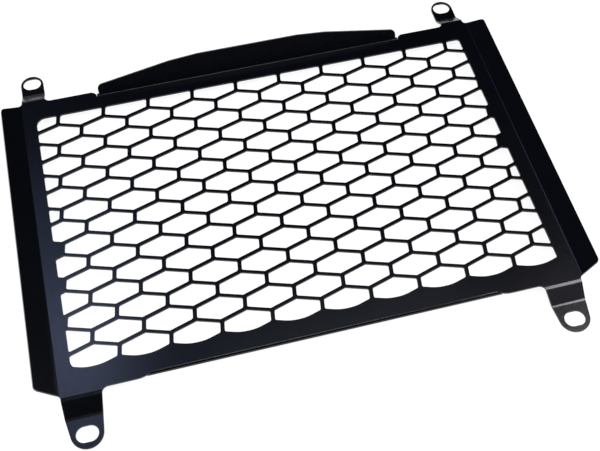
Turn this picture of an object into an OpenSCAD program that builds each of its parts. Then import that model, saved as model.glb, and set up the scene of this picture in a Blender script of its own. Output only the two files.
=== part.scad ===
// Radiator guard for a motorcycle: one sheet of metal, cut, folded and painted.
// A flat panel with a mesh of stretched hexagons, two side flanges folded up,
// a deeper flange folded up along the top edge, a hem turned back under the
// bottom edge, and four ears that step down to their bolt slots.
// x runs across the guard, y up its face, and z out of its face.
// The feet of the ears lie on z = 0, and the origin is under the middle of the outline.

/* [Sheet] */
// Thickness of the sheet
sheet_t = 1.2; // [0.8:0.1:1.6]
// Inside radius of the fold of the top flange
top_fold_r = 0.8; // [0.5:0.1:1.5]
// Inside radius of the folds of the ears
ear_fold_r = 3; // [1:0.5:4]
// Inside radius of the two side folds
side_fold_r = 4; // [2:0.5:5]

/* [Panel] */
// Width of the panel between the side folds
panel_w = 293; // [292:0.5:300]
// Height of the panel from cut edge to cut edge
panel_h = 197.2; // [196:0.2:200]

/* [Side flanges] */
// Width of a side flange, down its slope
flange_w = 12; // [9:0.5:16]
// Angle that the side flanges are folded up
flange_angle = 28; // [10:1:45]
// Slope of the ends of the side flanges, off square
flange_end_slope = 17.5; // [5:0.5:22]
// Radius of the outer corners of the side flanges
flange_corner_r = 3; // [1:0.5:4]

/* [Top flange] */
// Width of the top fold
top_fold_w = 197.4; // [150:0.2:200]
// How far each end of the top flange is set in from the end of its fold
top_flange_inset = 1.3; // [0.5:0.1:3]
// Depth of the top flange in its middle stretch
top_flange_d = 15.3; // [13:0.1:25]
// Width of that middle stretch
top_flange_mid_w = 83; // [60:1:120]
// Slope of the top flange's edge from the middle stretch to its ends
top_flange_slope = 8.8; // [2:0.2:9]
// Angle that the top flange is folded up
top_flange_angle = 63; // [30:1:90]
// Radius of the corners at the ends of the top flange
top_flange_corner_r = 4; // [2:0.5:6]

/* [Hem] */
// Width of the hem
hem_w = 199; // [150:0.5:200]
// Depth of the leaf that the hem turns back under the panel
hem_d = 7; // [4:0.5:8]
// Inside radius of the hem
hem_r = 0.6; // [0.4:0.1:1]
// Radius of the shoulders that the hem runs out into
hem_shoulder_r = 14; // [3:1:16]

/* [Ears] */
// How far the ears step down behind the panel
ear_drop = 6; // [5:0.5:10]
// Slope of the step
ear_step_angle = 35; // [30:1:45]
// How far the centres of the upper slots are in from the side folds
top_slot_inset = 8.4; // [8:0.1:20]
// How far the centres of the lower slots are in from the side folds
bottom_slot_inset = 11.6; // [11.4:0.1:20]
// Height of the slot centres above and below the middle of the panel
slot_y = 119.7; // [118.6:0.1:124]
// Width of every slot
slot_w = 9; // [6:0.5:9]
// Length of the upper slots, end to end
top_slot_l = 11.2; // [10:0.2:11.6]
// Length of the lower slots, end to end
bottom_slot_l = 12; // [10:0.2:14]
// Width of an upper ear
top_ear_w = 14; // [13.6:0.1:16]
// Width of the round end of a lower ear
bottom_ear_w = 17.5; // [16:0.5:19]
// Width of a lower ear at the foot of its step
bottom_ear_foot_w = 19.9; // [19.2:0.1:21]
// Width of a lower ear where it leaves the panel
bottom_ear_base_w = 22; // [20:0.5:25]

/* [Mesh] */
// Width of the plain border between each side fold and the mesh
side_border = 8.7; // [7.5:0.1:20]
// Width of the plain border above and below the mesh
end_border = 12.85; // [11.6:0.05:24]
// Corner radius at the left end of the window
window_left_r = 5.5; // [1:0.5:10]
// Corner radius at the right end of the window
window_right_r = 2; // [1:0.5:10]
// Radius that blends the bottom of the window into the slopes of the cells that it cuts
window_bottom_r = 24; // [5:1:40]
// Distance from cell to cell along a row
cell_pitch = 28; // [26:0.5:32]
// Distance from row to row
row_pitch = 11.6; // [11:0.1:14]
// Sideways lean of the pattern from each row to the next one up
row_lean = 1.04; // [0:0.02:2]
// Width of the upright struts
upright_w = 2.4; // [1.4:0.1:3]
// Width of the sloping struts, measured straight up the face
slope_w = 2; // [1.2:0.05:2.5]
// Length of an upright side of a cell
cell_side_h = 6; // [5:0.1:7]
// Sideways lean of that side, from its foot to its head
cell_side_lean = 0.96; // [0:0.04:1.4]
// Corner radius of a cell
cell_corner_r = 0.8; // [0.4:0.1:1.4]

/* [Hidden] */
$fn = 48;
// Overlap of pieces that are joined
lap = 0.5;
// Reach of the prism that trims the folded sheet
trim_z = 40;
// Most that one flat turns: in a fold, on a flange's corners, at the window's edge and corners,
// and in a cell's corners
fold_turn = 9;
fine_turn = 9;
blend_turn = 5;
window_turn = 15;
cell_turn = 80;
// Corners that turn less than this are left as they are
least_turn = 40;

// Half of the panel each way
panel_x = panel_w / 2;
panel_y = panel_h / 2;

// Ears: the step starts past the panel's cut edge and ends on the flat foot
step_gap = 2.7;
step_y = panel_y + step_gap;
outer_bend = (sheet_t + ear_fold_r) * tan(ear_step_angle / 2);
inner_bend = ear_fold_r * tan(ear_step_angle / 2);
ear_fold_y = step_y - outer_bend;
step_l = ear_drop / sin(ear_step_angle) - outer_bend - inner_bend;
step_foot_y = step_y + ear_drop / tan(ear_step_angle);
foot_l = 40;
ear_strip_w = 36;
top_ear_x = panel_x - top_slot_inset;
top_ear_end_y = slot_y - 0.9;
bottom_ear_x = panel_x - bottom_slot_inset;
bottom_ear_r = bottom_ear_w / 2;
bottom_ear_end_y = slot_y - 0.8;
bottom_ear_outer_x = bottom_ear_x + 10.3;
ear_inner_fillet = 3.5;
ear_outer_fillet = 2.8;

// Fold lines of the top flange and the hem, and the recesses of the cut edge that free them
top_recess = 3.8;
top_fold_y = panel_y - top_recess;
// Relief between the ends of the top fold and the shoulders of its recess
top_relief = 0.2;
hem_recess = 2.8;
hem_fold_y = panel_y - hem_recess;
// The hem's round edge meets its shoulders at the ends of the hem
hem_edge_depth = hem_recess - hem_r - sheet_t;
hem_recess_x = hem_w / 2 + arc_reach(hem_shoulder_r, hem_edge_depth)
    - arc_reach(hem_shoulder_r, hem_recess);

// Side flanges: the fold starts so that the two faces would meet at panel_x
side_bend = side_fold_r * tan(flange_angle / 2);
side_fold_x = panel_x - side_bend;
flange_end_y = panel_y - 0.9;
flange_square_w = 0.5;

// Top flange: depth of its ends
top_bend = top_fold_r * tan(top_flange_angle / 2);
top_flange_w = top_fold_w - 2 * top_flange_inset;
top_flange_fall = (top_flange_w - top_flange_mid_w) / 2 * tan(top_flange_slope);
top_flange_sweep_r = 120;
// How far up its face the flange steps in from the ends of its fold
top_flange_step = 0.3;

// The middle of the outline goes to x = 0, y = 0 and the ears' feet to z = 0
shift_y = (bottom_ear_end_y + bottom_ear_r - top_ear_end_y - top_ear_w / 2) / 2;

// The mesh window, which leaves the borders plain
window_w = panel_w - 2 * side_border;
window_h = panel_h - 2 * end_border;

// A cell about its centre: the ends of its two upright sides and its two tips
cell_x = (cell_pitch - upright_w) / 2;
cell_y = cell_side_h / 2;
tip_share = cell_pitch / 2 / cell_x;
tip_y = (row_pitch - slope_w - cell_y * tip_share) / (2 - tip_share);
cell_right = [cell_x + cell_side_lean / 2, cell_y];
cell_left = [-cell_x + cell_side_lean / 2, cell_y];
cell_tip = [row_lean, tip_y];
cell = [cell_tip, cell_left, -cell_right, -cell_tip, -cell_left, cell_right];
// Centre of the cell next to the middle of the window
middle_cell = [8, 1.1];
// A cell that the edge of the window would leave smaller than this isn't cut
smallest_cell = 32;
// A corner this close to the bottom of the window counts as lying on it
on_edge = 0.01;

// Distance along a tangent from a circle of radius r to where the circle is depth away from it
function arc_reach(r, depth) = sqrt(depth * (2 * r - depth));

function unit(v) = v / norm(v);
function cross_z(a, b) = a[0] * b[1] - a[1] * b[0];
function turned(v, a) = [v[0] * cos(a) - v[1] * sin(a), v[0] * sin(a) + v[1] * cos(a)];
function total(v, i = 0) = i < len(v) ? v[i] + total(v, i + 1) : 0;
function next(i, p) = (i + 1) % len(p);
function area(p) = total([for (i = [0:len(p) - 1]) cross_z(p[i], p[next(i, p)])]) / 2;

// Keeps the part of outline p that lies left of the line from a to b
function left_of(a, b, q) = cross_z(b - a, q - a);
function meet(a, b, q, r) = q + (r - q) * left_of(a, b, q) / (left_of(a, b, q) - left_of(a, b, r));
function cut(p, a, b) = [
    for (i = [0:1:len(p) - 1])
        let (q = p[i], r = p[next(i, p)], q_in = left_of(a, b, q) > 0, r_in = left_of(a, b, r) > 0)
            each [if (q_in) q, if (q_in != r_in) meet(a, b, q, r)]
];
function cut_all(p, edge, i = 0) =
    i == len(edge) || len(p) < 3 ? p : cut_all(cut(p, edge[i], edge[next(i, edge)]), edge, i + 1);

// Rounds the corner at q, between p and s, with an arc of flats that each turn by step at most
function corner(p, q, s, r, step) =
    let (
        u = unit(p - q),
        v = unit(s - q),
        turn = 180 - acos(max(-1, min(1, u * v))),
        reach = min(r * tan(turn / 2), 0.49 * norm(p - q), 0.49 * norm(s - q)),
        true_r = reach / tan(turn / 2),
        centre = q + unit(u + v) * true_r / cos(turn / 2),
        way = sign(cross_z(q - p, s - q)),
        count = ceil(turn / step)
    )
    [for (k = [0:count]) centre + turned(q + u * reach - centre, way * turn * k / count)];

// Rounds every corner of outline p that turns by least or more, r being one radius for each corner
function rounded(p, r, step, least = 0) = [
    for (i = [0:len(p) - 1])
        let (
            before = p[(i + len(p) - 1) % len(p)],
            after = p[next(i, p)],
            turn = acos(max(-1, min(1, unit(p[i] - before) * unit(after - p[i]))))
        )
            each (turn > least && r[i] > 0 ? corner(before, p[i], after, r[i], step) : [p[i]])
];

// Where a line from p touches the circle of radius r about c, on the side given by way
function touch(p, c, r, way) =
    let (to_p = p - c, spread = acos(r / norm(to_p))) c + r * turned(unit(to_p), way * spread);

// Fills the inside corner at p, between edges that run along u and v, with a concave fillet
module fillet(p, u, v, r) {
    half = acos(u * v) / 2;
    middle = unit(u + v);
    centre = p + middle * r / sin(half);
    difference() {
        polygon([p - middle * lap, p + u * r / tan(half), centre, p + v * r / tan(half)]);
        translate(centre) circle(r);
    }
}

module both_sides() {
    children();
    mirror([1, 0, 0]) children();
}

// Follows the lower face of the sheet from point p in direction h. A move is a straight length,
// or the angle of a fold, positive upwards, with its inside radius. Gives points with directions.
function follow(moves, p, h, i = 0) =
    i == len(moves) ? [[p, h]]
    : is_num(moves[i]) ? concat([[p, h]], follow(moves, p + moves[i] * turned([1, 0], h), h, i + 1))
    : let (
        a = moves[i][0],
        face_r = moves[i][1] + (a > 0 ? sheet_t : 0),
        centre = p + sign(a) * face_r * turned([0, 1], h),
        count = ceil(abs(a) / fold_turn)
    )
    concat(
        [for (k = [0:count - 1]) [centre + turned(p - centre, a * k / count), h + a * k / count]],
        follow(moves, centre + turned(p - centre, a), h + a, i + 1)
    );

// Sheet of width w that arrives along +y on z = 0 and goes through the moves, from y = start
module folded(w, start, moves) {
    path = follow(moves, [start, 0], 0);
    back = [for (i = [len(path) - 1:-1:0]) path[i][0] + sheet_t * turned([0, 1], path[i][1])];
    rotate([90, 0, 90]) linear_extrude(w, center = true)
        polygon(concat([for (q = path) q[0]], back));
}

// Turns the children into the plane of a flange that is folded up at y
module in_flange(y, a, r) translate([0, y, sheet_t + r]) rotate([a, 0, 0]) children();

module trim() linear_extrude(2 * trim_z, center = true) children();

// Outline of an upper ear, seen straight down on the panel
module top_ear_outline() {
    inner = [top_ear_x - top_ear_w / 2, panel_y];
    outer = [top_ear_x + top_ear_w / 2, flange_end_y];
    translate([top_ear_x - top_ear_w / 2, 0]) square([top_ear_w, top_ear_end_y]);
    translate([top_ear_x, top_ear_end_y]) circle(top_ear_w / 2);
    fillet(inner, [0, 1], [-1, 0], ear_inner_fillet);
    fillet(outer, [0, 1], [1, 0], ear_outer_fillet);
}

// Outline of a lower ear, drawn upwards: it narrows to the foot of its step and again to its end
module bottom_ear_outline() {
    centre = [bottom_ear_x, bottom_ear_end_y];
    inner = [bottom_ear_outer_x - bottom_ear_base_w, panel_y];
    inner_foot = [bottom_ear_outer_x - bottom_ear_foot_w, step_foot_y];
    outer_foot = [bottom_ear_outer_x, step_foot_y];
    outer = [bottom_ear_outer_x, flange_end_y];
    polygon([
        [inner[0], 0],
        [outer[0], 0],
        outer_foot,
        touch(outer_foot, centre, bottom_ear_r, 1),
        centre,
        touch(inner_foot, centre, bottom_ear_r, -1),
        inner_foot,
        inner
    ]);
    translate(centre) circle(bottom_ear_r);
    fillet(inner, unit(inner_foot - inner), [-1, 0], ear_inner_fillet);
    fillet(outer, [0, 1], [1, 0], ear_outer_fillet);
}

// The recess that frees a folded edge. It has half-width x at its full depth, and its ends are
// shoulders of radius r that run out into the cut edge.
module recess(depth, x, r) {
    end_x = x + arc_reach(r, depth);
    difference() {
        translate([-end_x, panel_y - depth]) square([2 * end_x, depth + lap]);
        both_sides() translate([end_x, panel_y - r]) circle(r);
    }
}

// Everything that is cut square through the sheet, seen straight down on the panel
module outline() {
    difference() {
        union() {
            square([2 * (top_ear_x - lap), panel_h], center = true);
            square([panel_w + 3 * flange_w, 2 * flange_end_y], center = true);
            both_sides() top_ear_outline();
            both_sides() mirror([0, 1]) bottom_ear_outline();
        }
        recess(top_recess, top_fold_w / 2 + top_relief, top_recess);
        mirror([0, 1]) recess(hem_recess, hem_recess_x, hem_shoulder_r);
    }
}

module trimmed() {
    intersection() {
        children();
        trim() outline();
    }
}

// The mesh: one outline for each cell that the window leaves open
function cell_at(column, row) =
    [
        middle_cell[0] + cell_pitch * (column + row % 2 / 2) + row_lean * row,
        middle_cell[1] + row_pitch * row
    ];

module cells() {
    x = window_w / 2;
    y = window_h / 2;
    radii = [window_left_r, window_right_r, window_right_r, window_left_r];
    window = rounded([[-x, -y], [x, -y], [x, y], [-x, y]], radii, window_turn);
    rows = ceil(y / row_pitch) + 1;
    columns = ceil((x + rows * row_lean) / cell_pitch) + 1;
    for (row = [-rows:rows])
        for (column = [-columns:columns]) {
            centre = cell_at(column, row);
            open = cut_all([for (p = cell) p + centre], window);
            if (len(open) > 2 && area(open) > smallest_cell) {
                blend_r = [for (p = open) p[1] < on_edge - y ? window_bottom_r : 0];
                blended = rounded(open, blend_r, blend_turn);
                polygon(rounded(blended, [for (p = blended) cell_corner_r], cell_turn, least_turn));
            }
        }
}

module panel() {
    linear_extrude(sheet_t) difference() {
        intersection() {
            square([2 * side_fold_x, 2 * ear_fold_y], center = true);
            outline();
        }
        cells();
    }
}

module slot(l) {
    straight = (l - slot_w) / 2;
    square([2 * straight, slot_w], center = true);
    translate([straight, 0]) circle(slot_w / 2);
    translate([-straight, 0]) circle(slot_w / 2);
}

// An ear's strip, which steps down from the panel to its flat foot
module ear(x, slot_l) {
    step = [lap, [-ear_step_angle, ear_fold_r], step_l, [ear_step_angle, ear_fold_r], foot_l];
    difference() {
        translate([x, 0, 0]) folded(ear_strip_w, ear_fold_y - lap, step);
        translate([x, slot_y, 0]) trim() slot(slot_l);
    }
}

// The flanges are cut square to their own faces
module side_flange() {
    w = flange_w - side_bend;
    square_w = flange_square_w - side_bend;
    y = flange_end_y;
    end_fall = (flange_w - flange_square_w) * tan(flange_end_slope);
    end = [[ear_fold_y, -trim_z], [ear_fold_y, square_w], [y, square_w], [y - end_fall, w]];
    shape = concat(end, [for (i = [3:-1:0]) [-end[i][0], end[i][1]]]);
    radii = [0, 0, 0, flange_corner_r, flange_corner_r, 0, 0, 0];
    rotate([0, 0, -90]) intersection() {
        folded(2 * ear_fold_y, side_fold_x - lap, [lap, [flange_angle, side_fold_r], flange_w]);
        in_flange(side_fold_x, flange_angle, side_fold_r)
            trim() polygon(rounded(shape, radii, fine_turn));
    }
}

module top_flange() {
    fold_x = top_fold_w / 2;
    x = top_flange_w / 2;
    middle_x = top_flange_mid_w / 2;
    d = top_flange_d - top_bend;
    end_d = d - top_flange_fall;
    half = [[fold_x, -trim_z], [fold_x, top_flange_step], [x, top_flange_step], [x, end_d], [middle_x, d]];
    shape = concat(half, [for (i = [4:-1:0]) [-half[i][0], half[i][1]]]);
    half_r = [0, 0, 0, top_flange_corner_r, top_flange_sweep_r];
    radii = concat(half_r, [for (i = [4:-1:0]) half_r[i]]);
    intersection() {
        folded(top_fold_w, top_fold_y - lap, [lap, [top_flange_angle, top_fold_r], top_flange_d]);
        in_flange(top_fold_y, top_flange_angle, top_fold_r)
            trim() polygon(rounded(shape, radii, fine_turn));
    }
}

module hem() {
    mirror([0, 1, 0]) folded(hem_w, hem_fold_y - lap, [lap, [-180, hem_r], hem_d]);
}

module radiator_guard() {
    color([0.09, 0.1, 0.12])
        translate([0, shift_y, ear_drop]) {
            panel();
            both_sides() trimmed() side_flange();
            both_sides() trimmed() ear(top_ear_x, top_slot_l);
            both_sides() trimmed() mirror([0, 1, 0]) ear(bottom_ear_x, bottom_slot_l);
            top_flange();
            hem();
        }
}

radiator_guard();
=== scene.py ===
"""Looks for the motorcycle radiator guard: black powder coat on one folded sheet."""

import math

import bpy
from mathutils import Matrix, Vector


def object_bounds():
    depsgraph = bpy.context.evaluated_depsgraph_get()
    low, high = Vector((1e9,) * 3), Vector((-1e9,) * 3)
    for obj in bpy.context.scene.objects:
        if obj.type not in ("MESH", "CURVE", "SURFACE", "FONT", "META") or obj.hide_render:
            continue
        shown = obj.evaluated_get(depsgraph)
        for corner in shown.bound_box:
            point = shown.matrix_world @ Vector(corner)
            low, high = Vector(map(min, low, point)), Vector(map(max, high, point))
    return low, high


MM = 0.001

# Coat
COAT_DARK = (0.0011, 0.0014, 0.0027, 1)
COAT_LIGHT = (0.0016, 0.0020, 0.0036, 1)
COAT_ROUGHNESS = (0.19, 0.215)
COAT_IOR = 1.5
EDGE_RADIUS = 0.22 * MM
EDGE_ANGLE = math.radians(50)
SEAM = 0.002 * MM

# Features to the metre, of the mottling, the gloss, the orange peel and its grain
MOTTLE_SCALE = 60
GLOSS_SCALE = 900
PEEL_SCALE = 1400
GRAIN_SCALE = 5000

# Floor and room. The floor ends where the lamps still light it white, so no edge shows
FLOOR_HALF = 0.8
FLOOR_DROP = 0.2 * MM
FLOOR_GLOW = 0.9
FLOOR_MATT = (0.2, 0.2, 0.2, 1)
ROOM = (0.01, 0.01, 0.012, 1)

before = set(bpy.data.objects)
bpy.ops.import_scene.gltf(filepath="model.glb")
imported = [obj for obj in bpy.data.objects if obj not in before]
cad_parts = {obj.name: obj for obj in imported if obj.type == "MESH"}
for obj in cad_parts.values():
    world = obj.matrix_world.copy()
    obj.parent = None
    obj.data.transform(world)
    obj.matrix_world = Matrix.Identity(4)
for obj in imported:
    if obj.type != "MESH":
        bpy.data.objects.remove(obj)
cad_low, cad_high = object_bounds()
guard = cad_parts["radiator_guard"]
scene = bpy.context.scene


# Helpers for node trees
def nodes_of(tree):
    """Empties the tree and returns its nodes and a short way to link them."""
    tree.nodes.clear()
    return tree.nodes, lambda a, b: tree.links.new(a, b)


def noise(tree, coords, scale, detail):
    """Object-space noise, scale in features to the metre."""
    n = tree.nodes.new("ShaderNodeTexNoise")
    n.inputs["Scale"].default_value = scale
    n.inputs["Detail"].default_value = detail
    tree.links.new(coords, n.inputs["Vector"])
    return n.outputs["Fac"]


def spread(tree, value, low, high):
    """Maps the middle range of a noise value to low to high."""
    n = tree.nodes.new("ShaderNodeMapRange")
    n.inputs["From Min"].default_value = 0.3
    n.inputs["From Max"].default_value = 0.7
    n.inputs["To Min"].default_value = low
    n.inputs["To Max"].default_value = high
    tree.links.new(value, n.inputs["Value"])
    return n.outputs["Result"]


def bump(tree, height, strength, distance, normal=None):
    """Bump from a height, on top of another bump's normal where one is given."""
    n = tree.nodes.new("ShaderNodeBump")
    n.inputs["Strength"].default_value = strength
    n.inputs["Distance"].default_value = distance
    tree.links.new(height, n.inputs["Height"])
    if normal:
        tree.links.new(normal, n.inputs["Normal"])
    return n.outputs["Normal"]


# Satin black powder coat: faint mottling, and a fine orange peel with a finer grain
def powder_coat():
    mat = bpy.data.materials.new("powder_coat")
    mat.use_nodes = True
    tree = mat.node_tree
    nodes, link = nodes_of(tree)
    out = nodes.new("ShaderNodeOutputMaterial")
    bsdf = nodes.new("ShaderNodeBsdfPrincipled")
    coords = nodes.new("ShaderNodeTexCoord").outputs["Object"]

    tint = nodes.new("ShaderNodeMix")
    tint.data_type = "RGBA"
    tint.inputs["A"].default_value = COAT_DARK
    tint.inputs["B"].default_value = COAT_LIGHT
    link(spread(tree, noise(tree, coords, MOTTLE_SCALE, 3), 0, 1), tint.inputs["Factor"])
    link(tint.outputs["Result"], bsdf.inputs["Base Color"])

    gloss = noise(tree, coords, GLOSS_SCALE, 2)
    link(spread(tree, gloss, *COAT_ROUGHNESS), bsdf.inputs["Roughness"])
    bsdf.inputs["IOR"].default_value = COAT_IOR

    peel = bump(tree, noise(tree, coords, PEEL_SCALE, 2), 0.12, 0.04 * MM)
    grain = bump(tree, noise(tree, coords, GRAIN_SCALE, 1), 0.1, 0.01 * MM, peel)
    link(grain, bsdf.inputs["Normal"])
    link(bsdf.outputs["BSDF"], out.inputs["Surface"])
    return mat


guard.data.materials.clear()
guard.data.materials.append(powder_coat())

# The coat rounds every cut edge of the sheet
weld = guard.modifiers.new("weld", "WELD")
weld.merge_threshold = SEAM
edge = guard.modifiers.new("coat_edges", "BEVEL")
edge.width = EDGE_RADIUS
edge.segments = 2
edge.limit_method = "ANGLE"
edge.angle_limit = EDGE_ANGLE
guard.data.shade_smooth()
# Keeps the flat faces flat where they meet the rounded edges and the folds
flat = guard.modifiers.new("flat_faces", "WEIGHTED_NORMAL")
flat.mode = "FACE_AREA"
flat.weight = 100
flat.thresh = 0.01


def sees_backdrop(tree):
    """One for the rays that show the white backdrop: camera, glossy and transmission rays."""
    path = tree.nodes.new("ShaderNodeLightPath")
    total = path.outputs["Is Camera Ray"]
    for ray in ("Is Glossy Ray", "Is Transmission Ray"):
        either = tree.nodes.new("ShaderNodeMath")
        either.operation = "MAXIMUM"
        tree.links.new(total, either.inputs[0])
        tree.links.new(path.outputs[ray], either.inputs[1])
        total = either.outputs["Value"]
    return total


# White floor: it glows for the rays that show the backdrop, and its matt share takes the shadow
def floor_material():
    mat = bpy.data.materials.new("floor_white")
    mat.use_nodes = True
    tree = mat.node_tree
    nodes, link = nodes_of(tree)
    out = nodes.new("ShaderNodeOutputMaterial")
    mix = nodes.new("ShaderNodeMixShader")
    matt = nodes.new("ShaderNodeBsdfDiffuse")
    matt.inputs["Color"].default_value = FLOOR_MATT
    glow = nodes.new("ShaderNodeEmission")
    glow.inputs["Strength"].default_value = FLOOR_GLOW
    both = nodes.new("ShaderNodeAddShader")
    link(matt.outputs["BSDF"], both.inputs[0])
    link(glow.outputs["Emission"], both.inputs[1])
    link(sees_backdrop(tree), mix.inputs["Fac"])
    link(matt.outputs["BSDF"], mix.inputs[1])
    link(both.outputs["Shader"], mix.inputs[2])
    link(mix.outputs["Shader"], out.inputs["Surface"])
    return mat


def add_floor():
    h = FLOOR_HALF
    mesh = bpy.data.meshes.new("floor")
    mesh.from_pydata([(-h, -h, 0), (h, -h, 0), (h, h, 0), (-h, h, 0)], [], [(0, 1, 2, 3)])
    mesh.materials.append(floor_material())
    floor = bpy.data.objects.new("floor", mesh)
    floor.location.z = cad_low.z - FLOOR_DROP
    scene.collection.objects.link(floor)


# The room is white to the camera and dark to the coat, whose flanges mirror it
def add_world():
    world = bpy.data.worlds.new("studio")
    scene.world = world
    world.use_nodes = True
    nodes, link = nodes_of(world.node_tree)
    out = nodes.new("ShaderNodeOutputWorld")
    path = nodes.new("ShaderNodeLightPath")
    mix = nodes.new("ShaderNodeMixShader")
    white = nodes.new("ShaderNodeBackground")
    white.inputs["Color"].default_value = (1, 1, 1, 1)
    room = nodes.new("ShaderNodeBackground")
    room.inputs["Color"].default_value = ROOM
    link(path.outputs["Is Camera Ray"], mix.inputs["Fac"])
    link(room.outputs["Background"], mix.inputs[1])
    link(white.outputs["Background"], mix.inputs[2])
    link(mix.outputs["Shader"], out.inputs["Surface"])


def softbox(name, toward, distance, width, height, radiance, color, aim=(0, 0, 0)):
    """A rectangle of light that faces the point aim, its width along X. A mirror shows radiance."""
    light = bpy.data.lights.new(name, "AREA")
    light.shape = "RECTANGLE"
    light.size = width
    light.size_y = height
    light.color = color
    light.energy = radiance * math.pi * width * height
    o = bpy.data.objects.new(name, light)
    d = Vector(toward).normalized()
    across = Vector((0, 1, 0)).cross(d).normalized()
    turn = Matrix((across, d.cross(across), d)).transposed()
    o.matrix_world = Matrix.LocRotScale(Vector(aim) + d * distance, turn, None)
    o.visible_camera = False
    scene.collection.objects.link(o)


add_floor()
add_world()

WHITE = (1.0, 1.0, 1.0)
# Two wide boxes at the sides light the object at a plain level
softbox("left_fill", (-0.75, -0.3, 0.59), 1.3, 0.8, 0.9, 4.4, WHITE)
softbox("right_fill", (0.77, -0.25, 0.59), 1.3, 0.8, 0.9, 4.4, WHITE)

# What the coat mirrors, each box placed from the spot that mirrors it to the camera
LEFT_BORDER = (-0.14, -0.06, 0.007)
NEAR_BORDER = (0.02, -0.092, 0.007)
RIGHT_EAR = (0.133, -0.1, 0.005)
SKY = (0.76, 0.93, 1.5)
HIGH_SKY = (0.7, 0.9, 1.6)
# Bluish daylight, which fades up the left border
softbox("daylight", (-0.126, 0.42, 0.9), 4.0, 0.42, 0.6, 2.75, SKY, LEFT_BORDER)
softbox("upper_daylight", (-0.12, 0.54, 0.83), 4.0, 0.5, 0.6, 0.65, HIGH_SKY, LEFT_BORDER)
# A weak strip along the near border
softbox("strip", (0.13, 0.385, 0.914), 1.3, 0.52, 0.09, 0.8, (0.9, 1.0, 1.3), NEAR_BORDER)
# A long lamp in both folds of the lower right ear, and a low one on the step between them
softbox("long_lamp", (0.4, -0.055, 0.91), 1.3, 0.15, 0.87, 13.0, (1.0, 1.0, 1.06), RIGHT_EAR)
softbox("low_lamp", (0.37, -0.67, 0.64), 1.3, 0.4, 0.3, 0.38, (1.0, 1.0, 1.15), RIGHT_EAR)
# A soft lamp in the fold of the top flange and in the hem
softbox("front_lamp", (0.06, -0.26, 0.96), 1.3, 0.5, 0.3, 5.0, WHITE)
# A low glow behind the upper ears
softbox("back_glow", (0.1, 0.99, 0.1), 1.6, 2.4, 0.3, 1.2, WHITE)


# The camera of the photograph, solved from the mesh's even pitch
def add_camera():
    lens = bpy.data.cameras.new("camera")
    lens.sensor_width = 36
    lens.lens = 56.98
    lens.clip_start = 0.01
    camera = bpy.data.objects.new("camera", lens)
    scene.collection.objects.link(camera)
    place = Vector((-0.0731, -0.30273, 0.4747))
    right = Vector((0.968915, -0.247252, 0.008406))
    ahead = Vector((0.135762, 0.502994, -0.853561))
    axes = Matrix((right, right.cross(ahead), -ahead)).transposed()
    camera.matrix_world = Matrix.LocRotScale(place, axes, None)
    scene.camera = camera


add_camera()
scene.view_settings.view_transform = "Standard"
